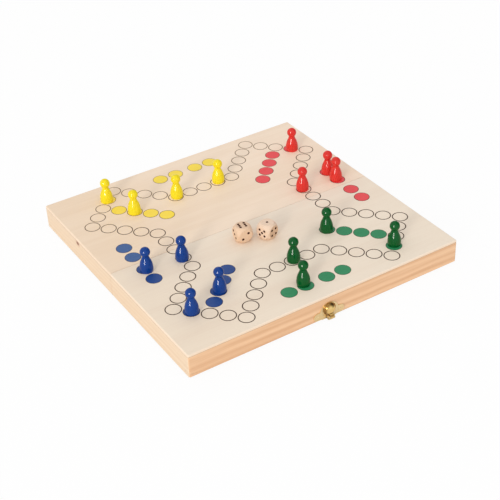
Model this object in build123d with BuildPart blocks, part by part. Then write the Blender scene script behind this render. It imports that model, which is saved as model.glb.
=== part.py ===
from build123d import *
import os
from math import cos, radians, sin, sqrt

os.makedirs("parts", exist_ok=True)

# The board lies open with its printed face up and its two trays face down.
# X runs along the seam, Y across it to the far half, Z up from the table.

# Board
board_length = 291.5
half_depth = 141.5
panel_thickness = 2.2
rail_height = 21.8
rail_thickness = 9.0
seam_gap = 0.3
corner_round = 1.6
top_arris = 1.2
bottom_arris = 0.2
rim_arris = 0.5

# Butt hinges at the rims under the seam
hinge_place = 85.0
hinge_length = 25.0
knuckle_count = 5
knuckle_radius = 1.1
knuckle_gap = 0.15
hinge_pin_radius = 0.5
pin_head_radius = 0.8
pin_head_length = 0.4
leaf_width = 7.0
leaf_thickness = 0.8
rim_relief = 0.05
mortise_clearance = 0.15
barrel_clearance = 0.35
screw_spacing = 8.5
screw_row = 4.3
screw_shank_radius = 0.7
screw_head_radius = 1.4
screw_length = 6.0
screw_slot_width = 0.4
screw_slot_depth = 0.3

# Clearances between round pieces
running_clearance = 0.05
fixed_clearance = 0.02

# Brass latch on the near outer rail and its strike on the far one
latch_place = -1.7
plate_thickness = 0.7
arch_radius = 10.0
arch_centre_height = 6.9
wing_reach = 16.5
wing_radius = 4.0
nail_place = 11.5
nail_height = 4.9
nail_shank_radius = 0.55
nail_head_radius = 1.2
nail_head_height = 0.5
nail_length = 6.0
plate_foot_height = 0.3
barrel_radius = 2.2
barrel_stand_off = 3.6
barrel_height = 2.6
latch_pin_radius = 0.8
hasp_knuckle_width = 4.0
plate_knuckle_width = 0.8
hasp_sheet = 0.6
hasp_clearance = 0.25
dome_radius = 6.1
dome_rise = 4.0
dome_rim_width = 0.5
dome_centre_height = 10.0
strap_bend = 15.0
slot_reach = 4.4
slot_width = 3.2
slot_height = 1.7
slot_round = 0.5
nose_width = 2.4
nose_thickness = 0.8
nose_length = 3.4
nose_round = 0.8
strike_top = 11.0
strike_foot = 0.6

# Pawns
pawn_height = 25.6
pawn_head_radius = 4.85
pawn_neck_radius = 2.95
pawn_shoulder_radius = 4.95
pawn_shoulder_height = 11.2
pawn_belly_radius = 6.4
pawn_belly_height = 3.7
pawn_foot_radius = 5.9
pawn_foot_slope = (0.3, 1.0)
pawn_neck_slope = (-0.2, 1.0)

# Dice
die_size = 16.0
die_ball_radius = 10.2
die_edge_round = 0.7
pip_radius = 1.25
pip_depth = 0.45
pip_spacing = 2.8

# Printed track that the pieces stand on: its pitch, and its centre against the board's
spot_pitch = 16.42
track_centre_x = 1.55
track_centre_y = -0.3
waiting_out = 7.155
waiting_inner = 0.70
waiting_outer = 1.785

# Heights and places that follow from the sizes
fold_height = knuckle_radius
rim_height = fold_height + rim_relief
panel_base = rim_height + rail_height
play_height = panel_base + panel_thickness
panel_depth = half_depth - seam_gap / 2
rail_ends = (-board_length / 2, board_length / 2)
hinge_places = (-hinge_place, hinge_place)
screw_places = (-screw_spacing, 0, screw_spacing)
knuckle_length = hinge_length / knuckle_count
nose_height = slot_reach - barrel_height - 2 * rim_relief

near = -1
far = 1


def save(piece, name):
    piece.label = name
    export_step(piece, f"parts/{name}.step")


# Outline of one half: its two corners away from the seam are rounded
def add_half_outline(side):
    with Locations((0, side * (seam_gap / 2 + panel_depth / 2))):
        Rectangle(board_length, panel_depth)
    corners = [corner for corner in vertices() if abs(corner.Y) > half_depth / 2]
    fillet(corners, corner_round)


# Panels: the thin sheets glued on the rails, eased all round except along the seam
def make_panel(side):
    with BuildPart() as panel:
        with BuildSketch(Plane.XY.offset(panel_base)):
            add_half_outline(side)
        extrude(amount=panel_thickness)
        for axis, arris in ((Axis.Z, top_arris), (-Axis.Z, bottom_arris)):
            edges = panel.faces().sort_by(axis)[-1].edges()
            seam_edge = edges.sort_by(lambda edge: abs(edge.center().Y))[0]
            fillet([edge for edge in edges if edge != seam_edge], arris)
    return panel.part


# Screws and nails, upright with the head's face at the origin and the shank pointing up
def make_screw(clearance):
    head = screw_head_radius + clearance
    shank = screw_shank_radius + clearance
    with BuildPart() as screw:
        with BuildSketch(Plane.XZ):
            with BuildLine():
                Polyline((0, screw_length + shank), (0, 0), (head, 0), (shank, head - shank))
                Polyline((shank, head - shank), (shank, screw_length), (0, screw_length + shank))
            make_face()
        revolve(axis=Axis.Z)
    return screw.part


def make_nail(shank):
    with BuildPart() as nail:
        with BuildSketch(Plane.XZ):
            with BuildLine():
                Polyline((0, 0), (shank, 0), (shank, nail_length), (0, nail_length + shank), (0, 0))
            make_face()
        revolve(axis=Axis.Z)
    return nail.part


# Rails: four to a half, mitred at the corners. A rail's outline is given by its two outer corners
def add_rail_outline(side, outer_corners):
    middle = side * (seam_gap / 2 + panel_depth / 2)
    inner_corners = []
    for x, y in reversed(outer_corners):
        inner_x = x - rail_thickness * (1 if x > 0 else -1)
        inner_y = y - rail_thickness * (1 if y > middle else -1)
        inner_corners.append((inner_x, inner_y))
    add_half_outline(side)
    Polygon(*outer_corners, *inner_corners, align=None, mode=Mode.INTERSECT)


def ease_rim(rail, outward, reach):
    """Rounds the rim's edge along the face that lies at reach in the outward direction."""
    rim_edges = rail.edges().group_by(Axis.Z)[0]
    outer_edges = [edge for edge in rim_edges if edge.center().dot(outward) > reach - corner_round]
    fillet(outer_edges, rim_arris)


def make_outer_rail(side):
    face = latch_plane if side == near else strike_plane
    with BuildPart() as rail:
        with BuildSketch(Plane.XY.offset(rim_height)):
            add_rail_outline(side, [(x, side * half_depth) for x in rail_ends])
        extrude(amount=rail_height)
        ease_rim(rail, Vector(0, side, 0), half_depth)
        with Locations(*nail_locations(face, 0)):
            add(make_nail(nail_shank_radius + fixed_clearance), mode=Mode.SUBTRACT)
    return rail.part


def make_inner_rail(side):
    barrel_groove = knuckle_radius + barrel_clearance
    groove_length = hinge_length + 2 * (pin_head_length + barrel_clearance)
    mortise_length = hinge_length + 2 * mortise_clearance
    mortise_width = leaf_width + mortise_clearance
    mortise_depth = leaf_thickness + mortise_clearance
    with BuildPart() as rail:
        with BuildSketch(Plane.XY.offset(rim_height)):
            add_rail_outline(side, [(x, side * seam_gap / 2) for x in rail_ends])
        extrude(amount=rail_height)
        for x in hinge_places:
            with BuildSketch(Plane.YZ.offset(x - groove_length / 2)):
                with Locations((0, fold_height)):
                    Circle(barrel_groove)
            extrude(amount=groove_length, mode=Mode.SUBTRACT)
            with BuildSketch(Plane.XY.offset(rim_height)):
                with Locations((x, side * mortise_width / 2)):
                    Rectangle(mortise_length, mortise_width)
            extrude(amount=mortise_depth, mode=Mode.SUBTRACT)
        with Locations(*screw_locations(side)):
            add(make_screw(fixed_clearance), mode=Mode.SUBTRACT)
    return rail.part


def make_side_rail(side, end):
    with BuildPart() as rail:
        with BuildSketch(Plane.XY.offset(rim_height)):
            side_face = end * board_length / 2
            add_rail_outline(side, [(side_face, side * y) for y in (seam_gap / 2, half_depth)])
        extrude(amount=rail_height)
        ease_rim(rail, Vector(end, 0, 0), board_length / 2)
    return rail.part


# Hinges: the near leaf has the first, third and fifth knuckles, the far leaf the two between
def screw_locations(side):
    screw_x = [x + dx for x in hinge_places for dx in screw_places]
    return [Location((x, side * screw_row, rim_height)) for x in screw_x]


def make_leaf(side, x):
    first = 0 if side == near else 1
    start = x - hinge_length / 2
    leaf_top = rim_height + leaf_thickness
    with BuildPart() as leaf:
        with BuildSketch(Plane.XY.offset(rim_height)):
            barrel_edge = knuckle_radius + knuckle_gap
            with Locations((x, side * (barrel_edge + leaf_width) / 2)):
                Rectangle(hinge_length, leaf_width - barrel_edge)
        extrude(amount=leaf_thickness)
        for i in range(first, knuckle_count, 2):
            left_gap = knuckle_gap / 2 if i > 0 else 0
            right_gap = knuckle_gap / 2 if i < knuckle_count - 1 else 0
            with BuildSketch(Plane.YZ.offset(start + i * knuckle_length + left_gap)):
                with Locations((0, fold_height)):
                    Circle(knuckle_radius)
                with Locations((side * barrel_edge / 2, (rim_height + leaf_top) / 2)):
                    Rectangle(barrel_edge, leaf_thickness)
            extrude(amount=knuckle_length - left_gap - right_gap)
        with BuildSketch(Plane.YZ.offset(start)):
            with Locations((0, fold_height)):
                Circle(hinge_pin_radius + running_clearance)
        extrude(amount=hinge_length, mode=Mode.SUBTRACT)
        with Locations(*screw_locations(side)):
            add(make_screw(fixed_clearance), mode=Mode.SUBTRACT)
    return leaf.part


def make_hinge_pin(x):
    pin_half = hinge_length / 2 + pin_head_length
    with BuildPart() as pin:
        with BuildSketch(Plane.YZ.offset(x - pin_half)):
            with Locations((0, fold_height)):
                Circle(hinge_pin_radius)
        extrude(amount=2 * pin_half)
        for end in (-1, 1):
            with BuildSketch(Plane.YZ.offset(x + end * pin_half)):
                with Locations((0, fold_height)):
                    Circle(pin_head_radius)
            extrude(amount=-end * (pin_head_length - running_clearance))
    return pin.part


def make_screws(side):
    with BuildPart() as screws:
        with Locations(*screw_locations(side)):
            add(make_screw(0))
            with Locations((0, 0, screw_slot_depth / 2)):
                Box(2 * screw_head_radius, screw_slot_width, screw_slot_depth, mode=Mode.SUBTRACT)
    return screws.part


# Latch: sketches on these two planes have X along the rail, Y up from the rim and Z out of the rail
latch_plane = Plane(origin=(latch_place, -half_depth, rim_height), x_dir=(1, 0, 0), z_dir=(0, -1, 0))
strike_plane = Plane(origin=(latch_place, half_depth, rim_height), x_dir=(-1, 0, 0), z_dir=(0, 1, 0))


def nail_locations(face, stand_off):
    places = [(x, nail_height, stand_off) for x in (-nail_place, nail_place)]
    return [face.location * Location(place, (180, 0, 0)) for place in places]


def side_plane(x):
    """Cross-section at x from the latch's middle: sketch X points out of the rail and sketch Y up."""
    return Plane(origin=(latch_place + x, -half_depth, rim_height), x_dir=(0, -1, 0), z_dir=(-1, 0, 0))


def make_latch_plate():
    knuckle_start = hasp_knuckle_width / 2 + hasp_clearance
    with BuildPart() as plate:
        with BuildSketch(latch_plane):
            with Locations((0, arch_centre_height)):
                Circle(arch_radius)
            with Locations((0, nail_height)):
                SlotOverall(2 * wing_reach, 2 * wing_radius)
        extrude(amount=plate_thickness)
        split(bisect_by=Plane.XY.offset(rim_height + plate_foot_height), keep=Keep.TOP)
        for x in (-knuckle_start, knuckle_start + plate_knuckle_width):
            with BuildSketch(side_plane(x)):
                with Locations((barrel_stand_off, barrel_height)):
                    Circle(barrel_radius)
                with Locations((0, plate_foot_height)):
                    Rectangle(barrel_stand_off, plate_thickness, align=(Align.MIN, Align.MIN))
            extrude(amount=plate_knuckle_width)
        with BuildSketch(side_plane(wing_reach)):
            with Locations((barrel_stand_off, barrel_height)):
                Circle(latch_pin_radius + fixed_clearance)
        extrude(amount=2 * wing_reach, mode=Mode.SUBTRACT)
        with Locations(*nail_locations(latch_plane, plate_thickness)):
            add(make_nail(nail_shank_radius + fixed_clearance), mode=Mode.SUBTRACT)
    return plate.part


def make_latch_pin():
    reach = hasp_knuckle_width / 2 + hasp_clearance + plate_knuckle_width
    with BuildPart() as pin:
        with BuildSketch(side_plane(reach)):
            with Locations((barrel_stand_off, barrel_height)):
                Circle(latch_pin_radius)
        extrude(amount=2 * reach)
    return pin.part


# The hasp lies up against its plate: a knuckle, a strap and a domed end with the slot for the nose
def make_hasp():
    rim_base = plate_thickness + hasp_clearance
    rim_radius = dome_radius + dome_rim_width
    crown = (dome_radius ** 2 + dome_rise ** 2) / (2 * dome_rise)
    crown_centre = rim_base + hasp_sheet + dome_rise - crown
    cut_height = barrel_height + barrel_radius + hasp_clearance
    strap_top = barrel_height + slot_reach - slot_height / 2
    strap_face = crown_centre + sqrt(crown ** 2 - (dome_centre_height - strap_top) ** 2)
    bend = (
        barrel_stand_off + barrel_radius * cos(radians(strap_bend)),
        barrel_height + barrel_radius * sin(radians(strap_bend)),
    )
    dome_middle = latch_plane.location * Location((0, dome_centre_height, crown_centre))
    with BuildPart() as hasp:
        with Locations(dome_middle):
            Sphere(crown)
        split(bisect_by=latch_plane.offset(rim_base), keep=Keep.TOP)
        with BuildSketch(latch_plane.offset(rim_base)):
            with Locations((0, dome_centre_height)):
                Circle(rim_radius)
        extrude(amount=hasp_sheet)
        with Locations(dome_middle):
            Sphere(crown - hasp_sheet, mode=Mode.SUBTRACT)
        split(bisect_by=Plane.XY.offset(rim_height + cut_height), keep=Keep.TOP)
        with BuildSketch(side_plane(hasp_knuckle_width / 2)):
            with Locations((barrel_stand_off, barrel_height)):
                Circle(barrel_radius)
            with BuildLine():
                Polyline(
                    (barrel_stand_off, barrel_height),
                    bend,
                    (strap_face, strap_top),
                    (rim_base, strap_top),
                    (rim_base, cut_height),
                    (barrel_stand_off, barrel_height),
                )
            make_face()
        extrude(amount=hasp_knuckle_width)
        with BuildSketch(latch_plane.offset(rim_base)):
            with Locations((0, barrel_height + slot_reach)):
                RectangleRounded(slot_width, slot_height, slot_round)
        extrude(amount=hasp_sheet + dome_rise, mode=Mode.SUBTRACT)
        with BuildSketch(side_plane(hasp_knuckle_width / 2)):
            with Locations((barrel_stand_off, barrel_height)):
                Circle(latch_pin_radius + running_clearance)
        extrude(amount=hasp_knuckle_width, mode=Mode.SUBTRACT)
    return hasp.part


def make_strike_plate():
    with BuildPart() as strike:
        with BuildSketch(strike_plane):
            with Locations((0, nail_height)):
                SlotOverall(2 * wing_reach, 2 * wing_radius)
            with Locations((0, nose_height)):
                Circle(strike_top - nose_height)
        extrude(amount=plate_thickness)
        split(bisect_by=Plane.XY.offset(rim_height + strike_foot), keep=Keep.TOP)
        with BuildSketch(strike_plane):
            with Locations((0, nose_height)):
                Rectangle(nose_width, nose_thickness)
        extrude(amount=plate_thickness + nose_length)
        tip = strike.edges().filter_by(Axis.Z).sort_by(Axis.Y)[-2:]
        fillet(tip, nose_round)
        with Locations(*nail_locations(strike_plane, plate_thickness)):
            add(make_nail(nail_shank_radius + fixed_clearance), mode=Mode.SUBTRACT)
    return strike.part


def make_nails(face):
    crown = (nail_head_radius ** 2 + nail_head_height ** 2) / (2 * nail_head_height)
    point = nail_length + nail_shank_radius
    with BuildPart() as nail:
        with BuildSketch(Plane.XZ):
            with BuildLine():
                Polyline((0, -nail_head_height), (0, point), (nail_shank_radius, nail_length))
                Polyline((nail_shank_radius, nail_length), (nail_shank_radius, 0), (nail_head_radius, 0))
                RadiusArc((nail_head_radius, 0), (0, -nail_head_height), crown)
            make_face()
        revolve(axis=Axis.Z)
    with BuildPart() as nails:
        with Locations(*nail_locations(face, plate_thickness)):
            add(nail.part)
    return nails.part


# Pawn: a turned bell with a ball head
def make_pawn(place):
    head_centre = pawn_height - pawn_head_radius
    neck = (pawn_neck_radius, head_centre - sqrt(pawn_head_radius ** 2 - pawn_neck_radius ** 2))
    with BuildPart() as pawn:
        with BuildSketch(Plane.XZ):
            with BuildLine():
                Line((0, pawn_height), (0, 0))
                Line((0, 0), (pawn_foot_radius, 0))
                Spline(
                    (pawn_foot_radius, 0),
                    (pawn_belly_radius, pawn_belly_height),
                    (pawn_shoulder_radius, pawn_shoulder_height),
                    neck,
                    tangents=(pawn_foot_slope, pawn_neck_slope),
                )
                ThreePointArc(neck, (pawn_head_radius, head_centre), (0, pawn_height))
            make_face()
        revolve(axis=Axis.Z)
    x, y = place
    return pawn.part.moved(Location((x, y, play_height)))


def on_track(x, y, aside):
    """Board place of a printed spot given in pitches from the track's centre, and a step aside in mm."""
    return (track_centre_x + spot_pitch * x + aside[0], track_centre_y + spot_pitch * y + aside[1])


# Spots that pawns stand on. The track turns by 45 degrees at the ends of its five-spot rows
diagonal = sqrt(0.5)
lane = 2 + 4 * diagonal
last_home = lane - 2 * diagonal
start_low = lane + diagonal
start_high = lane + 3 * diagonal

# Each pawn's spot, and how far aside of its middle the pawn was put down
pawn_places = {
    "yellow": [
        (-start_low, start_high, (-2.0, -1.0)),
        (-lane, lane, (-0.7, -0.9)),
        (-2, lane, (1.1, -0.3)),
        (1, lane, (0.8, 0.2)),
    ],
    "blue": [
        (-waiting_out, -waiting_inner, (0.6, -3.1)),
        (-lane, -1, (-2.0, -1.4)),
        (-lane, -lane, (0.9, -0.5)),
        (-start_high, -start_low, (-0.2, -1.2)),
    ],
    "red": [
        (start_high, start_low, (-0.1, -2.6)),
        (lane, 1, (-1.3, 0.3)),
        (waiting_out, waiting_outer, (-0.6, -1.6)),
        (waiting_out, waiting_inner, (-1.2, 1.3)),
    ],
    "green": [
        (last_home, -last_home, (-1.6, -1.3)),
        (0, -lane, (1.3, -0.5)),
        (-waiting_inner, -waiting_out, (-0.6, 2.8)),
        (start_low, -start_high, (1.3, 1.5)),
    ],
}

# Each die's numbers for top, right, front, left, back and bottom, its place and its turn
dice = {
    "die_left": ("623541", (-16.6, -23.3), -98.7),
    "die_right": ("145326", (5.1, -32.8), -71.4),
}

# Pips on a face, counted in pip spacings from its middle
pip_patterns = {
    "1": [(0, 0)],
    "2": [(-1, -1), (1, 1)],
    "3": [(-1, 1), (0, 0), (1, -1)],
    "4": [(-1, -1), (-1, 1), (1, -1), (1, 1)],
    "5": [(-1, -1), (-1, 1), (0, 0), (1, -1), (1, 1)],
    "6": [(-1, -1), (0, -1), (1, -1), (-1, 1), (0, 1), (1, 1)],
}


# Die: a wooden cube turned down to a ball at its corners and edges, with dimpled pips
def make_die(numbers, place, turn):
    half = die_size / 2
    faces = (
        Plane(origin=(0, 0, half), x_dir=(1, 0, 0), z_dir=(0, 0, 1)),
        Plane(origin=(half, 0, 0), x_dir=(0, -1, 0), z_dir=(1, 0, 0)),
        Plane(origin=(0, -half, 0), x_dir=(1, 0, 0), z_dir=(0, -1, 0)),
        Plane(origin=(-half, 0, 0), x_dir=(0, 1, 0), z_dir=(-1, 0, 0)),
        Plane(origin=(0, half, 0), x_dir=(-1, 0, 0), z_dir=(0, 1, 0)),
        Plane(origin=(0, 0, -half), x_dir=(-1, 0, 0), z_dir=(0, 0, -1)),
    )
    pip_ball = (pip_radius ** 2 + pip_depth ** 2) / (2 * pip_depth)
    with BuildPart() as die:
        Box(die_size, die_size, die_size)
        Sphere(die_ball_radius, mode=Mode.INTERSECT)
        fillet(die.edges(), die_edge_round)
        for face, number in zip(faces, numbers):
            for across, up in pip_patterns[number]:
                middle = Location((across * pip_spacing, up * pip_spacing, pip_ball - pip_depth))
                with Locations(face.location * middle):
                    Sphere(pip_ball, mode=Mode.SUBTRACT)
    x, y = place
    return die.part.moved(Location((x, y, play_height + half), (0, 0, turn)))


for half_name, side in (("near", near), ("far", far)):
    save(make_panel(side), f"{half_name}_panel")
    save(make_outer_rail(side), f"{half_name}_outer_rail")
    save(make_inner_rail(side), f"{half_name}_inner_rail")
    save(make_side_rail(side, -1), f"{half_name}_left_rail")
    save(make_side_rail(side, 1), f"{half_name}_right_rail")
    save(make_screws(side), f"{half_name}_hinge_screws")

for hinge_name, hinge_x in zip(("left", "right"), hinge_places):
    save(make_leaf(near, hinge_x), f"{hinge_name}_hinge_near_leaf")
    save(make_leaf(far, hinge_x), f"{hinge_name}_hinge_far_leaf")
    save(make_hinge_pin(hinge_x), f"{hinge_name}_hinge_pin")

save(make_latch_plate(), "latch_plate")
save(make_hasp(), "latch_hasp")
save(make_latch_pin(), "latch_pin")
save(make_nails(latch_plane), "latch_nails")
save(make_strike_plate(), "strike_plate")
save(make_nails(strike_plane), "strike_nails")

for colour, spots in pawn_places.items():
    for count, spot in enumerate(spots, start=1):
        save(make_pawn(on_track(*spot)), f"pawn_{colour}_{count}")

for name, (numbers, place, turn) in dice.items():
    save(make_die(numbers, place, turn), name)
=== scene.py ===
import math

import bmesh
import bpy
from mathutils import Matrix, Vector


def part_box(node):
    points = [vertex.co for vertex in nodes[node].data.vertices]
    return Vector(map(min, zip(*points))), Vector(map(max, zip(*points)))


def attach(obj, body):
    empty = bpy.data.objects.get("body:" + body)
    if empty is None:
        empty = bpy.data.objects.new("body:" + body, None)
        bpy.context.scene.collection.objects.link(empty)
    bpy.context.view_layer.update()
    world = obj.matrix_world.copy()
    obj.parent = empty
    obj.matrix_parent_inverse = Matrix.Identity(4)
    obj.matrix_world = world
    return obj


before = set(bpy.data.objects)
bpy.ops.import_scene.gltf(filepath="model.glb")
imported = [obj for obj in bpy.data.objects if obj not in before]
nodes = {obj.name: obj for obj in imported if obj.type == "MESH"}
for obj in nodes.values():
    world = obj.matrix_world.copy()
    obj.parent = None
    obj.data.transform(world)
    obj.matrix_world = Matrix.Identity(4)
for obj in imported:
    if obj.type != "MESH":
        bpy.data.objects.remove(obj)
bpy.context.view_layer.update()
mm = 0.001
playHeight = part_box("near_panel")[1].z
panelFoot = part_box("near_panel")[0].z
print("frame loaded,", len(nodes), "nodes")


# sRGB hex to the linear colour that a shader takes
def linear(hexColour):
    channels = [int(hexColour[i:i + 2], 16) / 255 for i in (1, 3, 5)]
    return [c / 12.92 if c <= 0.04045 else ((c + 0.055) / 1.055) ** 2.4 for c in channels] + [1.0]


def inMetres(values):
    return [value * mm for value in values]


# Adds one node: its settings, then its inputs by name or number, linked where a socket is given
def addNode(tree, kind, settings=None, inputs=None):
    node = tree.nodes.new(kind)
    for key, value in (settings or {}).items():
        setattr(node, key, value)
    for key, value in (inputs or {}).items():
        if isinstance(value, bpy.types.NodeSocket):
            tree.links.new(value, node.inputs[key])
        else:
            node.inputs[key].default_value = value
    return node


# Scales a place so that noise on it runs long one way and narrow the other two
def stretched(tree, vector, along, lengthMm, widthMm):
    scale = [1 / (widthMm * mm)] * 3
    scale["XYZ".index(along)] = 1 / (lengthMm * mm)
    return addNode(tree, "ShaderNodeVectorMath", {"operation": "MULTIPLY"},
                   {0: vector, 1: scale}).outputs[0]


def newMaterial(name, constants):
    material = bpy.data.materials.new(name)
    material.use_nodes = True
    tree = material.node_tree
    shader = tree.nodes["Principled BSDF"]
    for key, value in constants.items():
        shader.inputs[key].default_value = value
    return material, tree, shader


# Links a surface's colour, and lets its fine pattern raise a relief and, where the look has a range of
# it, vary the roughness
def dress(tree, shader, colour, pattern, look):
    tree.links.new(colour, shader.inputs["Base Color"])
    relief = addNode(tree, "ShaderNodeBump", None, {
        "Strength": look["reliefStrength"], "Distance": look["reliefDepth"] * mm, "Height": pattern,
    })
    tree.links.new(relief.outputs[0], shader.inputs["Normal"])
    if "roughest" in look:
        rough = addNode(tree, "ShaderNodeMapRange", None, {
            "Value": pattern, "To Min": look["smoothest"], "To Max": look["roughest"],
        })
        tree.links.new(rough.outputs[0], shader.inputs["Roughness"])


def paint(material, *names):
    for name in names:
        for materialSlot in nodes[name].material_slots:
            materialSlot.material = material


def meshObject(name, bm, material, body):
    mesh = bpy.data.meshes.new(name)
    bm.normal_update()
    bm.to_mesh(mesh)
    bm.free()
    piece = bpy.data.objects.new(name, mesh)
    bpy.context.scene.collection.objects.link(piece)
    mesh.materials.append(material)
    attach(piece, body)
    return piece


camera = {
    "lens": 84.74,
    "sensor": 36.0,
    "azimuth": -31.167,
    "elevation": 35.008,
    "roll": -2.534,
    "distance": 1.0984,
    "target": (-0.02075, -0.04241, playHeight),
    "clipStart": 0.01,
    "clipEnd": 20.0,
}


def makeCamera():
    azimuth, elevation, roll = (math.radians(camera[key]) for key in ("azimuth", "elevation", "roll"))
    back = Vector((
        math.sin(azimuth) * math.cos(elevation),
        -math.cos(azimuth) * math.cos(elevation),
        math.sin(elevation),
    ))
    right = Vector((0, 0, 1)).cross(back).normalized()
    up = back.cross(right)
    rolledRight = right * math.cos(roll) + up * math.sin(roll)
    rolledUp = up * math.cos(roll) - right * math.sin(roll)
    data = bpy.data.cameras.new("camera")
    data.lens = camera["lens"]
    data.sensor_width = camera["sensor"]
    data.clip_start = camera["clipStart"]
    data.clip_end = camera["clipEnd"]
    view = bpy.data.objects.new("camera", data)
    bpy.context.scene.collection.objects.link(view)
    turn = Matrix((rolledRight, rolledUp, back)).transposed().to_4x4()
    place = Vector(camera["target"]) + back * camera["distance"]
    view.matrix_world = Matrix.Translation(place) @ turn
    bpy.context.scene.camera = view


makeCamera()
print("camera made")


# The studio's right side is dim from where a direction's X, plus dimTilt of its Z, reaches dimStart
light = {
    "keyPlace": (-4.06, -2.7, 1.6),
    "keyWidth": 1.0,
    "keyHeight": 1.8,
    "keyPower": 100.0,
    "keyColour": "#FFFBF4",
    "sheenWidth": 2.0,
    "sheenHeight": 3.2,
    "sheenPower": 580.0,
    "skyLevel": 0.82,
    "dimTilt": 0.4,
    "dimStart": 0.5,
    "dimEnd": 1.0,
    "dimInGloss": 0.15,
    "floorReach": 4.0,
    "floorColour": "#FAFAFA",
    "floorGlow": 0.93,
}


def makeSoftbox(name):
    data = bpy.data.lights.new(name + "Light", "AREA")
    data.shape = "RECTANGLE"
    data.size = light[name + "Width"]
    data.size_y = light[name + "Height"]
    data.energy = light[name + "Power"]
    data.color = linear(light["keyColour"])[:3]
    softbox = bpy.data.objects.new(name + "Light", data)
    softbox.location = light["keyPlace"]
    softbox.rotation_euler = (-Vector(light["keyPlace"])).to_track_quat("-Z", "Y").to_euler()
    bpy.context.scene.collection.objects.link(softbox)
    return softbox


# The highlights on the lacquered pawns are wider than the key gives, so a second box at the same place
# adds gloss to them alone
def makeSheen():
    softbox = makeSoftbox("sheen")
    softbox.visible_diffuse = False
    lacquered = bpy.data.collections.new("lacquered")
    for name in nodes:
        if name.startswith("pawn_"):
            lacquered.objects.link(nodes[name])
    softbox.light_linking.receiver_collection = lacquered


# 1 for what looks straight at the floor or the studio or through glass, 0 for lighting and gloss
def seenDirectly(tree, path):
    return addNode(tree, "ShaderNodeMath", {"operation": "MAXIMUM"},
                   {0: path.outputs["Is Camera Ray"], 1: path.outputs["Is Transmission Ray"]}).outputs[0]


# A white tent with a dim right side, which only gloss shows
def makeSky():
    world = bpy.data.worlds.new("studio")
    bpy.context.scene.world = world
    world.use_nodes = True
    tree = world.node_tree
    direction = addNode(tree, "ShaderNodeSeparateXYZ", None,
                        {0: addNode(tree, "ShaderNodeTexCoord").outputs["Generated"]})
    toRight = addNode(tree, "ShaderNodeMath", {"operation": "MULTIPLY_ADD"},
                      {0: direction.outputs["Z"], 1: light["dimTilt"], 2: direction.outputs["X"]})
    dimmed = addNode(tree, "ShaderNodeMapRange", {"interpolation_type": "SMOOTHSTEP"}, {
        "Value": toRight.outputs[0], "From Min": light["dimStart"], "From Max": light["dimEnd"],
        "To Min": 1.0, "To Max": light["dimInGloss"],
    })
    path = addNode(tree, "ShaderNodeLightPath")
    unseen = addNode(tree, "ShaderNodeMapRange", None, {
        "Value": path.outputs["Is Glossy Ray"],
        "To Min": light["skyLevel"], "To Max": dimmed.outputs["Result"],
    })
    level = addNode(tree, "ShaderNodeMapRange", None,
                    {"Value": seenDirectly(tree, path), "To Min": unseen.outputs["Result"], "To Max": 1.0})
    background = tree.nodes["Background"]
    background.inputs["Color"].default_value = (1, 1, 1, 1)
    tree.links.new(level.outputs["Result"], background.inputs["Strength"])


def makeFloor():
    material = bpy.data.materials.new("whitePaperSweep")
    material.use_nodes = True
    tree = material.node_tree
    tree.nodes.remove(tree.nodes["Principled BSDF"])
    paper = addNode(tree, "ShaderNodeBsdfDiffuse", None, {"Color": linear(light["floorColour"])})
    glow = addNode(tree, "ShaderNodeEmission", None, {"Color": (1, 1, 1, 1), "Strength": 1.0})
    path = addNode(tree, "ShaderNodeLightPath")
    share = addNode(tree, "ShaderNodeMath", {"operation": "MULTIPLY"},
                    {0: seenDirectly(tree, path), 1: light["floorGlow"]})
    mixed = addNode(tree, "ShaderNodeMixShader", None,
                    {0: share.outputs[0], 1: paper.outputs[0], 2: glow.outputs[0]})
    tree.links.new(mixed.outputs[0], tree.nodes["Material Output"].inputs["Surface"])
    bm = bmesh.new()
    bmesh.ops.create_grid(bm, x_segments=1, y_segments=1, size=light["floorReach"])
    mesh = bpy.data.meshes.new("floor")
    bm.to_mesh(mesh)
    bm.free()
    mesh.materials.append(material)
    floor = bpy.data.objects.new("floor", mesh)
    bpy.context.scene.collection.objects.link(floor)
    return floor


# Keeps the floor under the object's lowest point, because the far half and the hasp swing down past the
# rims that the open board stands on
def sinkUnderObject(floor):
    standing = bpy.data.collections.new("standing")
    for node in nodes.values():
        standing.objects.link(node)
    tree = bpy.data.node_groups.new("sinkUnderObject", "GeometryNodeTree")
    for direction in ("INPUT", "OUTPUT"):
        tree.interface.new_socket("Geometry", in_out=direction, socket_type="NodeSocketGeometry")
    plane = addNode(tree, "NodeGroupInput")
    whole = addNode(tree, "GeometryNodeCollectionInfo", {"transform_space": "RELATIVE"},
                    {"Collection": standing})
    joined = addNode(tree, "GeometryNodeRealizeInstances", None, {0: whole.outputs[0]})
    box = addNode(tree, "GeometryNodeBoundBox", None, {0: joined.outputs[0]})
    lowest = addNode(tree, "ShaderNodeSeparateXYZ", None, {0: box.outputs["Min"]})
    drop = addNode(tree, "ShaderNodeCombineXYZ", None, {"Z": lowest.outputs["Z"]})
    sunk = addNode(tree, "GeometryNodeTransform", None,
                   {"Geometry": plane.outputs[0], "Translation": drop.outputs[0]})
    addNode(tree, "NodeGroupOutput", None, {0: sunk.outputs[0]})
    floor.modifiers.new("sink", "NODES").node_group = tree


makeSoftbox("key")
makeSheen()
makeSky()
sinkUnderObject(makeFloor())
print("light and floor made")


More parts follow.
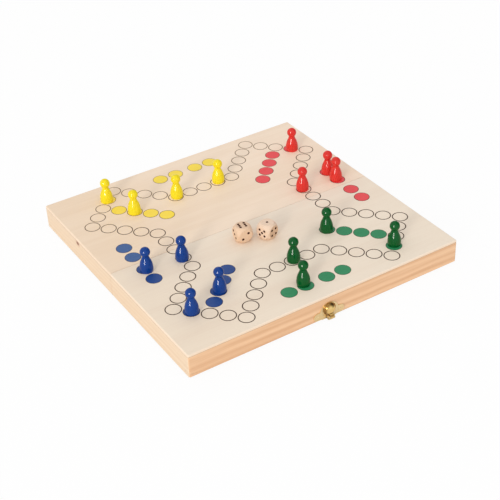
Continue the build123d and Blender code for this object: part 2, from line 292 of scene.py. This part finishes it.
# Pine, sawn flat and sanded under a clear satin varnish: soft pale early wood drifts into oranger
# late wood, so each face shows a few long wavy stripes, with fine short fibres between them. Each rail
# gives where the log's pith lay and where in the log it was sawn, and the left one has the only knot.
pine = {
    "wander": 5.2,
    "wanderLength": 110.0,
    "wanderWidth": 22.0,
    "slope": 0.018,
    "ringSpacing": 4.0,
    "ringDepth": 0.5,
    "stripeLength": 210.0,
    "stripeWidth": 3.4,
    "stripeStart": 0.32,
    "stripeEnd": 0.68,
    "stripeDepth": 0.55,
    "fibreLength": 26.0,
    "fibreWidth": 0.7,
    "fibreStart": 0.3,
    "fibreEnd": 0.7,
    "fibreDepth": 0.1,
    "glueAndShadeLine": 0.4,
    "glueAndShadeDepth": 0.6,
    "glueAndShadeHex": "#9C7F63",
    "smoothest": 0.42,
    "roughest": 0.6,
    "reliefStrength": 0.25,
    "reliefDepth": 0.05,
    "rails": {
        "sandedPineNear": {
            "nodes": ("near_outer_rail", "near_inner_rail"), "along": "X",
            "pith": (0, -60, 62), "offset": (0, 0, 0), "lightHex": "#EFC69E", "darkHex": "#DBAC83",
        },
        "sandedPineFar": {
            "nodes": ("far_outer_rail", "far_inner_rail"), "along": "X",
            "pith": (0, 80, 58), "offset": (70, 0, 31), "lightHex": "#EFC69E", "darkHex": "#DBAC83",
        },
        "sandedPineLeft": {
            "nodes": ("near_left_rail", "far_left_rail"), "along": "Y",
            "pith": (-108, 0, -34), "offset": (0, 0, 12), "lightHex": "#E9D1B5", "darkHex": "#E2C7A9",
            "knot": {
                "place": (-145.7, 68.6, 20.6), "size": (3.0, 3.4, 2.3), "ragged": 1.5,
                "halo": {"start": 0.7, "end": 1.9, "depth": 0.45, "hex": "#B98062"},
                "core": {"start": 0.35, "end": 1.05, "depth": 0.9, "hex": "#7A4230"},
            },
        },
        "sandedPineRight": {
            "nodes": ("near_right_rail", "far_right_rail"), "along": "Y",
            "pith": (112, 0, -30), "offset": (0, 40, 5), "lightHex": "#E8CBA8", "darkHex": "#DAB084",
        },
    },
}
wavePeriod = 0.314  # metres from ring to ring in a wave texture of scale 1


# Distances from the knot are counted in its size, and the wander of the grain frays its edge
def addKnot(tree, knot, board, wander, colour):
    fromKnot = addNode(tree, "ShaderNodeVectorMath", {"operation": "SUBTRACT"},
                       {0: board, 1: inMetres(knot["place"])})
    ragged = addNode(tree, "ShaderNodeVectorMath", {"operation": "MULTIPLY_ADD"},
                     {0: wander, 1: inMetres([knot["ragged"]] * 3), 2: fromKnot.outputs[0]})
    inSizes = addNode(tree, "ShaderNodeVectorMath", {"operation": "DIVIDE"},
                      {0: ragged.outputs[0], 1: inMetres(knot["size"])})
    distance = addNode(tree, "ShaderNodeVectorMath", {"operation": "LENGTH"}, {0: inSizes.outputs[0]})
    for zone in (knot["halo"], knot["core"]):
        inside = addNode(tree, "ShaderNodeMapRange", {"interpolation_type": "SMOOTHSTEP"}, {
            "Value": distance.outputs["Value"], "From Min": zone["start"], "From Max": zone["end"],
            "To Min": zone["depth"], "To Max": 0.0,
        })
        colour = addNode(tree, "ShaderNodeMix", {"data_type": "RGBA"},
                         {0: inside.outputs[0], 6: colour, 7: linear(zone["hex"])}).outputs[2]
    return colour


def makePine(name, rail):
    along = rail["along"]
    material, tree, shader = newMaterial(name, {"IOR": 1.48})
    board = addNode(tree, "ShaderNodeTexCoord").outputs["Object"]
    place = addNode(tree, "ShaderNodeVectorMath", {"operation": "ADD"},
                    {0: board, 1: inMetres(rail["offset"])}).outputs[0]
    drift = addNode(tree, "ShaderNodeTexNoise", None, {
        "Vector": stretched(tree, place, along, pine["wanderLength"], pine["wanderWidth"]),
        "Scale": 1.0, "Detail": 2.0,
    })
    wander = addNode(tree, "ShaderNodeVectorMath", {"operation": "SUBTRACT"},
                     {0: drift.outputs["Color"], 1: (0.5, 0.5, 0.5)}).outputs[0]
    shifted = addNode(tree, "ShaderNodeVectorMath", {"operation": "MULTIPLY_ADD"},
                      {0: wander, 1: inMetres([pine["wander"]] * 3), 2: place})
    parts = addNode(tree, "ShaderNodeSeparateXYZ", None, {0: shifted.outputs[0]})
    lean = addNode(tree, "ShaderNodeMath", {"operation": "MULTIPLY_ADD"},
                   {0: parts.outputs[along], 1: pine["slope"], 2: parts.outputs["Z"]})
    leaning = addNode(tree, "ShaderNodeCombineXYZ", None, {
        "X": parts.outputs["X"], "Y": parts.outputs["Y"], "Z": lean.outputs[0],
    }).outputs[0]
    fromPith = addNode(tree, "ShaderNodeVectorMath", {"operation": "SUBTRACT"},
                       {0: leaning, 1: inMetres(rail["pith"])})
    rings = addNode(tree, "ShaderNodeTexWave", {"wave_type": "RINGS", "rings_direction": along},
                    {"Vector": fromPith.outputs[0], "Scale": wavePeriod / (pine["ringSpacing"] * mm)})
    stripes = addNode(tree, "ShaderNodeTexNoise", None, {
        "Vector": stretched(tree, leaning, along, pine["stripeLength"], pine["stripeWidth"]),
        "Scale": 1.0, "Detail": 2.0, "Roughness": 0.45,
    })
    stripeShade = addNode(tree, "ShaderNodeMapRange", {"interpolation_type": "SMOOTHSTEP"}, {
        "Value": stripes.outputs["Fac"], "From Min": pine["stripeStart"], "From Max": pine["stripeEnd"],
        "To Min": 0.0, "To Max": pine["stripeDepth"],
    })
    fibres = addNode(tree, "ShaderNodeTexNoise", None, {
        "Vector": stretched(tree, place, along, pine["fibreLength"], pine["fibreWidth"]),
        "Scale": 1.0, "Detail": 3.0, "Roughness": 0.6,
    })
    fibreShade = addNode(tree, "ShaderNodeMapRange", None, {
        "Value": fibres.outputs["Fac"], "From Min": pine["fibreStart"], "From Max": pine["fibreEnd"],
        "To Min": -pine["fibreDepth"], "To Max": pine["fibreDepth"],
    })
    shade = addNode(tree, "ShaderNodeMath", {"operation": "MULTIPLY_ADD"},
                    {0: rings.outputs["Fac"], 1: pine["ringDepth"], 2: stripeShade.outputs[0]})
    shade = addNode(tree, "ShaderNodeMath", {"operation": "ADD", "use_clamp": True},
                    {0: shade.outputs[0], 1: fibreShade.outputs[0]})
    colour = addNode(tree, "ShaderNodeMix", {"data_type": "RGBA"},
                     {0: shade.outputs[0], 6: linear(rail["lightHex"]), 7: linear(rail["darkHex"])})
    # A dark line just under the panel's foot: the glue joint, and painted shade for the groove between
    # panel and rail
    height = addNode(tree, "ShaderNodeSeparateXYZ", None, {0: board})
    offGlueAndShade = addNode(tree, "ShaderNodeMath", {"operation": "SUBTRACT"},
                      {0: panelFoot, 1: height.outputs["Z"]})
    glueAndShade = addNode(tree, "ShaderNodeMapRange", None, {
        "Value": offGlueAndShade.outputs[0], "From Max": pine["glueAndShadeLine"] * mm,
        "To Min": pine["glueAndShadeDepth"], "To Max": 0.0,
    })
    colour = addNode(tree, "ShaderNodeMix", {"data_type": "RGBA"},
                     {0: glueAndShade.outputs[0], 6: colour.outputs[2], 7: linear(pine["glueAndShadeHex"])}).outputs[2]
    if "knot" in rail:
        colour = addKnot(tree, rail["knot"], board, wander, colour)
    dress(tree, shader, colour, fibres.outputs["Fac"], pine)
    return material


# Basswood ply, rotary cut and sanded: pale and even, with faint long fibres and hardly any figure, a
# little darker and yellower towards the left rim as painted shade, and painted shade on its rounded edges
veneer = {
    "bandLength": 260.0,
    "bandWidth": 16.0,
    "bandStart": 0.35,
    "bandEnd": 0.75,
    "bandDepth": 0.55,
    "fibreLength": 45.0,
    "fibreWidth": 0.9,
    "fibreStart": 0.35,
    "fibreEnd": 0.8,
    "fibreLeast": -0.1,
    "fibreMost": 0.4,
    "leftShadeStart": -20.0,
    "leftShadeEnd": -120.0,
    "edgeShadeSteep": 0.35,
    "edgeShadeFlat": 0.95,
    "edgeShadeHex": "#EED7BF",
    "smoothest": 0.47,
    "roughest": 0.65,
    "reliefStrength": 0.2,
    "reliefDepth": 0.03,
    "panels": {
        "basswoodVeneerNear": {
            "node": "near_panel", "paleHex": "#F5E6D3", "streakHex": "#EEDBC7", "leftShadeHex": "#FEFCF9",
        },
        "basswoodVeneerFar": {
            "node": "far_panel", "paleHex": "#FAE5CF", "streakHex": "#F1D8BE", "leftShadeHex": "#FAF7F2",
        },
    },
}


def makeVeneer(name, panel):
    material, tree, shader = newMaterial(name, {"IOR": 1.47})
    coords = addNode(tree, "ShaderNodeTexCoord")
    place = coords.outputs["Object"]
    bands = addNode(tree, "ShaderNodeTexNoise", None, {
        "Vector": stretched(tree, place, "X", veneer["bandLength"], veneer["bandWidth"]),
        "Scale": 1.0, "Detail": 3.0, "Distortion": 0.4,
    })
    bandShade = addNode(tree, "ShaderNodeMapRange", {"interpolation_type": "SMOOTHSTEP"}, {
        "Value": bands.outputs["Fac"], "From Min": veneer["bandStart"], "From Max": veneer["bandEnd"],
        "To Min": 0.0, "To Max": veneer["bandDepth"],
    })
    fibres = addNode(tree, "ShaderNodeTexNoise", None, {
        "Vector": stretched(tree, place, "X", veneer["fibreLength"], veneer["fibreWidth"]),
        "Scale": 1.0, "Detail": 4.0, "Roughness": 0.65,
    })
    fibreShade = addNode(tree, "ShaderNodeMapRange", None, {
        "Value": fibres.outputs["Fac"], "From Min": veneer["fibreStart"], "From Max": veneer["fibreEnd"],
        "To Min": veneer["fibreLeast"], "To Max": veneer["fibreMost"],
    })
    shade = addNode(tree, "ShaderNodeMath", {"operation": "ADD", "use_clamp": True},
                    {0: bandShade.outputs[0], 1: fibreShade.outputs[0]})
    colour = addNode(tree, "ShaderNodeMix", {"data_type": "RGBA"},
                     {0: shade.outputs[0], 6: linear(panel["paleHex"]), 7: linear(panel["streakHex"])})
    across = addNode(tree, "ShaderNodeSeparateXYZ", None, {0: place})
    # Painted shade: a little darker and yellower towards the left rim
    toLeftShade = addNode(tree, "ShaderNodeMapRange", None, {
        "Value": across.outputs["X"],
        "From Min": veneer["leftShadeStart"] * mm, "From Max": veneer["leftShadeEnd"] * mm,
    })
    colour = addNode(tree, "ShaderNodeMix", {"data_type": "RGBA", "blend_type": "MULTIPLY"},
                     {0: toLeftShade.outputs[0], 6: colour.outputs[2], 7: linear(panel["leftShadeHex"])})
    # Painted shade: the panel's rounded edges, where its normal leans off upright, are darker than its top
    normal = addNode(tree, "ShaderNodeSeparateXYZ", None, {0: coords.outputs["Normal"]})
    upright = addNode(tree, "ShaderNodeMath", {"operation": "ABSOLUTE"}, {0: normal.outputs["Z"]})
    onShadedEdge = addNode(tree, "ShaderNodeMapRange", {"interpolation_type": "SMOOTHSTEP"}, {
        "Value": upright.outputs[0], "From Min": veneer["edgeShadeSteep"], "From Max": veneer["edgeShadeFlat"],
        "To Min": 1.0, "To Max": 0.0,
    })
    colour = addNode(tree, "ShaderNodeMix", {"data_type": "RGBA"},
                     {0: onShadedEdge.outputs[0], 6: colour.outputs[2], 7: linear(veneer["edgeShadeHex"])})
    dress(tree, shader, colour.outputs[2], fibres.outputs["Fac"], veneer)
    return material


for name, panel in veneer["panels"].items():
    paint(makeVeneer(name, panel), panel["node"])
for name, rail in pine["rails"].items():
    paint(makePine(name, rail), *rail["nodes"])
print("wood made")


# Spots lie on a path of equal steps: rows of five, arms turned by 45 degrees and three more round each
# corner. Places are counted in pitches from the middle of the pattern, which lies beside the board's.
track = {
    "pitch": 16.42,
    "middle": (1.55, -0.3),
    "sameSpot": 0.1,
    "seamGap": 0.3,
    "onSeam": 0.0001,
    "spotRadius": 7.75,
    "lineWidth": {"near": 0.9, "far": 0.8},
    "fillRadius": {"yellow": 7.2, "red": 7.25, "green": 7.4, "blue": 7.4},
    "inkHeight": 0.03,
    "outlineLayers": 2,
    "fillLayers": 3,
    "segments": 64,
    "waitingOut": 7.155,
    "waitingInner": 0.70,
    "waitingOuter": 1.785,
}
slant = math.sqrt(0.5)
rowOut = 2 + 4 * slant


def trackSpots():
    spots = set()
    quarter = [(k, rowOut) for k in range(-2, 3)]
    for k in range(1, 5):
        quarter += [(2 + k * slant, rowOut + k * slant), (-2 - k * slant, rowOut + k * slant)]
    quarter += [(2 + (4 + j) * slant, rowOut + (4 - j) * slant) for j in range(1, 4)]
    for x, y in quarter:
        for turn in range(4):
            spots.add((round(x, 4), round(y, 4)))
            x, y = -y, x
    return sorted(spots)


def homeSpots(signX, signY):
    return [(signX * (rowOut + k * slant), signY * (rowOut + k * slant)) for k in (1, 0, -1, -2)]


def waitingSpots(turnX, turnY):
    inner, outer, out = track["waitingInner"], track["waitingOuter"], track["waitingOut"]
    offsets = [-outer, -inner, inner, outer]
    return [(turnX * out + turnY * offset, turnY * out + turnX * offset) for offset in offsets]


startNear = rowOut + slant
startOff = rowOut + 3 * slant
colouredSpots = {
    "yellow": homeSpots(-1, 1) + waitingSpots(0, 1) + [(-startNear, startOff)],
    "red": homeSpots(1, 1) + waitingSpots(1, 0) + [(startOff, startNear)],
    "green": homeSpots(1, -1) + waitingSpots(0, -1) + [(startNear, -startOff)],
    "blue": homeSpots(-1, -1) + waitingSpots(-1, 0) + [(-startOff, -startNear)],
}


def onBoard(spot):
    return [(middle + track["pitch"] * value) * mm for middle, value in zip(track["middle"], spot)]


# Adds one printed spot as a thin flat ring, or as a disc where the inner radius is 0
def addSpot(bm, centre, inner, outer, low, high):
    count = track["segments"]
    angles = [2 * math.pi * k / count for k in range(count)]
    corners = [Vector((math.cos(angle), math.sin(angle))) for angle in angles]
    middle = Vector(centre)

    def addLoops(radius):
        return [[bm.verts.new((*(middle + corner * radius), z)) for corner in corners]
                for z in (low, high)]

    outerLow, outerHigh = addLoops(outer)
    if inner:
        innerLow, innerHigh = addLoops(inner)
    for k in range(count):
        after = (k + 1) % count
        bm.faces.new((outerLow[k], outerLow[after], outerHigh[after], outerHigh[k]))
        if inner:
            bm.faces.new((innerLow[after], innerLow[k], innerHigh[k], innerHigh[after]))
            bm.faces.new((outerHigh[k], outerHigh[after], innerHigh[after], innerHigh[k]))
            bm.faces.new((outerLow[after], outerLow[k], innerLow[k], innerLow[after]))
    if not inner:
        bm.faces.new(outerHigh)
        bm.faces.new(reversed(outerLow))


# Prints the spots that lie on one half, cut off at the seam and sunk into the panel by one ink height
def printSpots(name, half, spots, inner, outer, layers, material):
    side = -1 if half == "near" else 1
    seam = side * track["seamGap"] / 2 * mm
    reach = outer * mm
    low = playHeight - track["inkHeight"] * mm
    high = playHeight + layers * track["inkHeight"] * mm
    bm = bmesh.new()
    for spot in spots:
        x, y = onBoard(spot)
        if side * (y - seam) > -reach:
            addSpot(bm, (x, y), inner * mm, reach, low, high)
    cut = bmesh.ops.bisect_plane(bm, geom=bm.verts[:] + bm.edges[:] + bm.faces[:],
                                 dist=track["onSeam"] * mm, plane_co=(0, seam, 0),
                                 plane_no=(0, -side, 0), clear_outer=True)
    openEdges = [item for item in cut["geom_cut"] if isinstance(item, bmesh.types.BMEdge)]
    if openEdges:
        bmesh.ops.holes_fill(bm, edges=openEdges, sides=0)
    if bm.verts:
        meshObject(name, bm, material, half + "_half")
    else:
        bm.free()


# Screen-printed ink, matt and thin enough for the wood's fibres to show in its colour. The outlines were
# laid on thinner towards the far rim, and the near half's blue thicker than the far half's.
ink = {
    "fibreLength": 12.0,
    "fibreWidth": 0.6,
    "thinStart": 0.35,
    "thinEnd": 0.75,
    "fadeStart": 40.0,
    "fadeEnd": 130.0,
    "fadeMost": 0.42,
    "fadeHex": "#D2B48F",
    "reliefStrength": 0.2,
    "reliefDepth": 0.03,
    "outlineGloss": {"Roughness": 0.55, "Specular IOR Level": 0.15},
    "fillGloss": {"Roughness": 0.5, "Specular IOR Level": 0.5},
    "outline": ("#281000", "#482608"),
    "yellow": ("#FFDF3E", "#FDE258"),
    "red": ("#EA3F48", "#EC585A"),
    "green": ("#1F8452", "#339264"),
    "blue": ("#305793", "#42669D"),
    "nearBlue": ("#123F86", "#1F4B91"),
}


def makeInk(name, fullHex, thinHex, gloss, faded=False):
    material, tree, shader = newMaterial(name, {"IOR": 1.47} | gloss)
    place = addNode(tree, "ShaderNodeTexCoord").outputs["Object"]
    fibres = addNode(tree, "ShaderNodeTexNoise", None, {
        "Vector": stretched(tree, place, "X", ink["fibreLength"], ink["fibreWidth"]),
        "Scale": 1.0, "Detail": 4.0, "Roughness": 0.7,
    })
    thin = addNode(tree, "ShaderNodeMapRange", None, {
        "Value": fibres.outputs["Fac"], "From Min": ink["thinStart"], "From Max": ink["thinEnd"],
    })
    colour = addNode(tree, "ShaderNodeMix", {"data_type": "RGBA"},
                     {0: thin.outputs[0], 6: linear(fullHex), 7: linear(thinHex)})
    if faded:
        across = addNode(tree, "ShaderNodeSeparateXYZ", None, {0: place})
        share = addNode(tree, "ShaderNodeMapRange", None, {
            "Value": across.outputs["Y"],
            "From Min": ink["fadeStart"] * mm, "From Max": ink["fadeEnd"] * mm, "To Max": ink["fadeMost"],
        })
        colour = addNode(tree, "ShaderNodeMix", {"data_type": "RGBA"},
                         {0: share.outputs[0], 6: colour.outputs[2], 7: linear(ink["fadeHex"])})
    dress(tree, shader, colour.outputs[2], fibres.outputs["Fac"], ink)
    return material


outlineInk = makeInk("screenPrintedOutline", *ink["outline"], ink["outlineGloss"], faded=True)
allSpots = trackSpots()
for spots in colouredSpots.values():
    allSpots += [spot for spot in spots
                 if not any(math.dist(spot, other) < track["sameSpot"] for other in allSpots)]
for half, lineWidth in track["lineWidth"].items():
    printSpots(half + "_track_outlines", half, allSpots, track["spotRadius"] - lineWidth,
               track["spotRadius"], track["outlineLayers"], outlineInk)
    for colourName, spots in colouredSpots.items():
        tint = ink["nearBlue" if (half, colourName) == ("near", "blue") else colourName]
        inkName = "screenPrinted" + colourName.capitalize() + half.capitalize()
        fill = makeInk(inkName, *tint, ink["fillGloss"])
        printSpots(f"{half}_{colourName}_spots", half, spots, 0, track["fillRadius"][colourName],
                   track["fillLayers"], fill)
print("track printed,", len(allSpots), "spots")


# Turned beech, dipped in gloss lacquer: deep even colour, a soft skin over the wood and small sharp
# highlights
lacquer = {
    "roughness": 0.1,
    "specular": 0.2,
    "ripple": 2.5,
    "reliefStrength": 0.1,
    "reliefDepth": 0.03,
    "colours": {
        "yellow": ("#F4E026", "#EED622"),
        "red": ("#DF3A33", "#D33029"),
        "green": ("#025B25", "#024C1F"),
        "blue": ("#103F8E", "#0E3880"),
    },
}


def makeLacquer(name, mainHex, deepHex):
    material, tree, shader = newMaterial(name, {
        "IOR": 1.5, "Roughness": lacquer["roughness"], "Specular IOR Level": lacquer["specular"],
    })
    place = addNode(tree, "ShaderNodeTexCoord").outputs["Object"]
    ripples = addNode(tree, "ShaderNodeTexNoise", None,
                      {"Vector": place, "Scale": 1 / (lacquer["ripple"] * mm), "Detail": 3.0})
    colour = addNode(tree, "ShaderNodeMix", {"data_type": "RGBA"},
                     {0: ripples.outputs["Fac"], 6: linear(mainHex), 7: linear(deepHex)})
    dress(tree, shader, colour.outputs[2], ripples.outputs["Fac"], lacquer)
    return material


for colourName, (mainHex, deepHex) in lacquer["colours"].items():
    gloss = makeLacquer("glossLacquer" + colourName.capitalize(), mainHex, deepHex)
    paint(gloss, *[f"pawn_{colourName}_{k}" for k in range(1, 5)])
print("pawns painted")


# Each die's numbers are those of its top, right, front, left, back and bottom, as seen before its turn
dice = {
    "size": 16.0,
    "fibreLength": 9.0,
    "fibreWidth": 0.5,
    "fibreStart": 0.3,
    "fibreEnd": 0.75,
    "endShadeStart": 0.75,
    "endShadeFull": 0.98,
    "reliefStrength": 0.2,
    "reliefDepth": 0.04,
    "pipRadius": 1.25,
    "pipDepth": 0.45,
    "pipSpacing": 2.8,
    "pipRings": 5,
    "pipSegments": 20,
    "paintLift": 0.02,
    "paintSink": 0.1,
    "charSize": 0.5,
    "charHex": "#300C00",
    "scorchHex": "#471600",
    "die_left": {
        "numbers": "623541", "place": (-16.6, -23.3), "turn": -98.7,
        "grain": "Z", "mainHex": "#EFD0B3", "deepHex": "#DFB795", "endGrainShadeHex": "#F7F8F9",
    },
    "die_right": {
        "numbers": "145326", "place": (5.1, -32.8), "turn": -71.4,
        "grain": "X", "mainHex": "#F3DBC6", "deepHex": "#E2BFA1", "endGrainShadeHex": "#ECE0D2",
    },
}
# For each face, in the order of the numbers: its normal, and the direction that its pips count along
dieFaces = (
    ((0, 0, 1), (1, 0, 0)),
    ((1, 0, 0), (0, -1, 0)),
    ((0, -1, 0), (1, 0, 0)),
    ((-1, 0, 0), (0, 1, 0)),
    ((0, 1, 0), (-1, 0, 0)),
    ((0, 0, -1), (-1, 0, 0)),
)
pipPatterns = {
    "1": [(0, 0)],
    "2": [(-1, -1), (1, 1)],
    "3": [(-1, 1), (0, 0), (1, -1)],
    "4": [(-1, -1), (-1, 1), (1, -1), (1, 1)],
    "5": [(-1, -1), (-1, 1), (0, 0), (1, -1), (1, 1)],
    "6": [(-1, -1), (0, -1), (1, -1), (-1, 1), (0, 1), (1, 1)],
}


# Maple or birch, tumbled smooth and left natural: fine close fibres, and darker faces where they end: end
# grain, deepened with painted shade
def makeDieWood(name, die):
    material, tree, shader = newMaterial(name, {"IOR": 1.48, "Roughness": 0.5})
    coords = addNode(tree, "ShaderNodeTexCoord")
    ownPlace, ownNormal = (
        addNode(tree, "ShaderNodeVectorRotate", {"rotation_type": "Z_AXIS"},
                {"Vector": coords.outputs[output], "Angle": -math.radians(die["turn"])}).outputs[0]
        for output in ("Object", "Normal"))
    fibres = addNode(tree, "ShaderNodeTexNoise", None, {
        "Vector": stretched(tree, ownPlace, die["grain"], dice["fibreLength"], dice["fibreWidth"]),
        "Scale": 1.0, "Detail": 4.0, "Roughness": 0.6,
    })
    shade = addNode(tree, "ShaderNodeMapRange", None, {
        "Value": fibres.outputs["Fac"], "From Min": dice["fibreStart"], "From Max": dice["fibreEnd"],
    })
    colour = addNode(tree, "ShaderNodeMix", {"data_type": "RGBA"},
                     {0: shade.outputs[0], 6: linear(die["mainHex"]), 7: linear(die["deepHex"])})
    # End grain and painted shade: the faces across the grain are multiplied darker
    facing = addNode(tree, "ShaderNodeSeparateXYZ", None, {0: ownNormal})
    along = addNode(tree, "ShaderNodeMath", {"operation": "ABSOLUTE"}, {0: facing.outputs[die["grain"]]})
    onEndGrainShade = addNode(tree, "ShaderNodeMapRange", {"interpolation_type": "SMOOTHSTEP"}, {
        "Value": along.outputs[0], "From Min": dice["endShadeStart"], "From Max": dice["endShadeFull"],
    })
    colour = addNode(tree, "ShaderNodeMix", {"data_type": "RGBA", "blend_type": "MULTIPLY"},
                     {0: onEndGrainShade.outputs[0], 6: colour.outputs[2], 7: linear(die["endGrainShadeHex"])})
    dress(tree, shader, colour.outputs[2], fibres.outputs["Fac"], dice)
    return material


# Burnt and painted pips: nearly black brown, mottled with browner scorched spots, and dull
def makePipPaint():
    material, tree, shader = newMaterial("burntPip", {
        "IOR": 1.5, "Roughness": 0.8, "Specular IOR Level": 0.03,
    })
    place = addNode(tree, "ShaderNodeTexCoord").outputs["Object"]
    char = addNode(tree, "ShaderNodeTexNoise", None,
                   {"Vector": place, "Scale": 1 / (dice["charSize"] * mm), "Detail": 3.0})
    colour = addNode(tree, "ShaderNodeMix", {"data_type": "RGBA"},
                     {0: char.outputs["Fac"], 6: linear(dice["charHex"]), 7: linear(dice["scorchHex"])})
    tree.links.new(colour.outputs[2], shader.inputs["Base Color"])
    return material


# One pip's paint: a thin dish that lies in the hollow, closed behind inside the wood
def addPip(bm, matrix):
    rings, count = dice["pipRings"], dice["pipSegments"]
    radius, depth = dice["pipRadius"] * mm, dice["pipDepth"] * mm
    lift, sink = dice["paintLift"] * mm, dice["paintSink"] * mm
    ball = (radius ** 2 + depth ** 2) / (2 * depth)
    angles = [2 * math.pi * k / count for k in range(count)]
    front = bm.verts.new(matrix @ Vector((0, 0, lift - depth)))
    back = bm.verts.new(matrix @ Vector((0, 0, -depth - sink)))
    frontLoops, backLoops = [], []
    for ring in range(1, rings + 1):
        r = radius * ring / rings
        z = ball - depth - math.sqrt(ball ** 2 - r ** 2)
        for loops, height in ((frontLoops, z + lift), (backLoops, z - sink)):
            loops.append([bm.verts.new(matrix @ Vector((r * math.cos(angle), r * math.sin(angle), height)))
                          for angle in angles])
    for k in range(count):
        after = (k + 1) % count
        bm.faces.new((front, frontLoops[0][k], frontLoops[0][after]))
        bm.faces.new((back, backLoops[0][after], backLoops[0][k]))
        for inner, outer in zip(frontLoops, frontLoops[1:]):
            bm.faces.new((inner[k], outer[k], outer[after], inner[after]))
        for inner, outer in zip(backLoops, backLoops[1:]):
            bm.faces.new((inner[k], inner[after], outer[after], outer[k]))
        bm.faces.new((frontLoops[-1][k], backLoops[-1][k], backLoops[-1][after], frontLoops[-1][after]))


def makePips(name, material):
    die = dice[name]
    half = dice["size"] / 2 * mm
    spacing = dice["pipSpacing"] * mm
    turn = Matrix.Rotation(math.radians(die["turn"]), 4, "Z")
    middle = Matrix.Translation((*inMetres(die["place"]), playHeight + half)) @ turn
    bm = bmesh.new()
    for (normal, across), number in zip(dieFaces, die["numbers"]):
        outward, side = Vector(normal), Vector(across)
        face = Matrix((side, outward.cross(side), outward)).transposed().to_4x4()
        face.translation = outward * half
        for column, row in pipPatterns[number]:
            step = Matrix.Translation((column * spacing, row * spacing, 0))
            addPip(bm, middle @ face @ step)
    piece = meshObject(name + "_pips", bm, material, name + "_body")
    piece.data.polygons.foreach_set("use_smooth", [True] * len(piece.data.polygons))


pipPaint = makePipPaint()
for name in ("die_left", "die_right"):
    paint(makeDieWood(name + "TumbledMaple", dice[name]), name)
    makePips(name, pipPaint)
print("dice painted")


# Brass-plated sheet, pressed and barrel polished: the hasp bright with sharp reflections, the flat
# fittings paler and softer, all with fine rub marks. A dark ring round the foot of the hasp's dome is
# painted shade, standing in for the dome's shadow and dark reflections.
brass = {
    "markSize": 0.6,
    "reliefStrength": 0.15,
    "reliefDepth": 0.03,
    "domeMiddle": (-1.7, 0, 11.15),
    "footShadeRadius": 5.6,
    "footShadeWidth": 2.0,
    "footShadeDepth": 0.8,
    "footShadeHex": "#7E4F16",
    "hasp": {"mainHex": "#F3D896", "deepHex": "#DCB266", "smoothest": 0.14, "roughest": 0.3},
    "fittings": {"mainHex": "#F4E0B4", "deepHex": "#E6CD9A", "smoothest": 0.28, "roughest": 0.44},
}


# A ring of painted shade round the dome's axis, which stands along Y
def addFootShade(tree, place, colour):
    fromDome = addNode(tree, "ShaderNodeVectorMath", {"operation": "SUBTRACT"},
                       {0: place, 1: inMetres(brass["domeMiddle"])})
    flat = addNode(tree, "ShaderNodeVectorMath", {"operation": "MULTIPLY"},
                   {0: fromDome.outputs[0], 1: (1, 0, 1)})
    radius = addNode(tree, "ShaderNodeVectorMath", {"operation": "LENGTH"}, {0: flat.outputs[0]})
    fromFoot = addNode(tree, "ShaderNodeMath", {"operation": "SUBTRACT"},
                       {0: radius.outputs["Value"], 1: brass["footShadeRadius"] * mm})
    fromFoot = addNode(tree, "ShaderNodeMath", {"operation": "ABSOLUTE"}, {0: fromFoot.outputs[0]})
    footShadeMask = addNode(tree, "ShaderNodeMapRange", {"interpolation_type": "SMOOTHSTEP"}, {
        "Value": fromFoot.outputs[0], "From Max": brass["footShadeWidth"] * mm,
        "To Min": brass["footShadeDepth"], "To Max": 0.0,
    })
    return addNode(tree, "ShaderNodeMix", {"data_type": "RGBA"},
                   {0: footShadeMask.outputs[0], 6: colour, 7: linear(brass["footShadeHex"])}).outputs[2]


def makeBrass(name, finish, withFootShade=False):
    material, tree, shader = newMaterial(name, {"Metallic": 1.0})
    place = addNode(tree, "ShaderNodeTexCoord").outputs["Object"]
    marks = addNode(tree, "ShaderNodeTexNoise", None, {
        "Vector": place, "Scale": 1 / (brass["markSize"] * mm), "Detail": 4.0, "Roughness": 0.6,
    })
    colour = addNode(tree, "ShaderNodeMix", {"data_type": "RGBA"}, {
        0: marks.outputs["Fac"], 6: linear(finish["mainHex"]), 7: linear(finish["deepHex"]),
    }).outputs[2]
    # Painted shade round the foot of the dome, on the hasp alone
    if withFootShade:
        colour = addFootShade(tree, place, colour)
    dress(tree, shader, colour, marks.outputs["Fac"], brass | finish)
    return material


polishedBrass = makeBrass("polishedBrass", brass["hasp"], withFootShade=True)
pressedBrass = makeBrass("pressedBrass", brass["fittings"])
for name in nodes:
    if any(word in name for word in ("hinge", "latch", "strike")):
        paint(polishedBrass if name == "latch_hasp" else pressedBrass, name)
print("brass painted")


bpy.context.scene.view_settings.view_transform = "Standard"
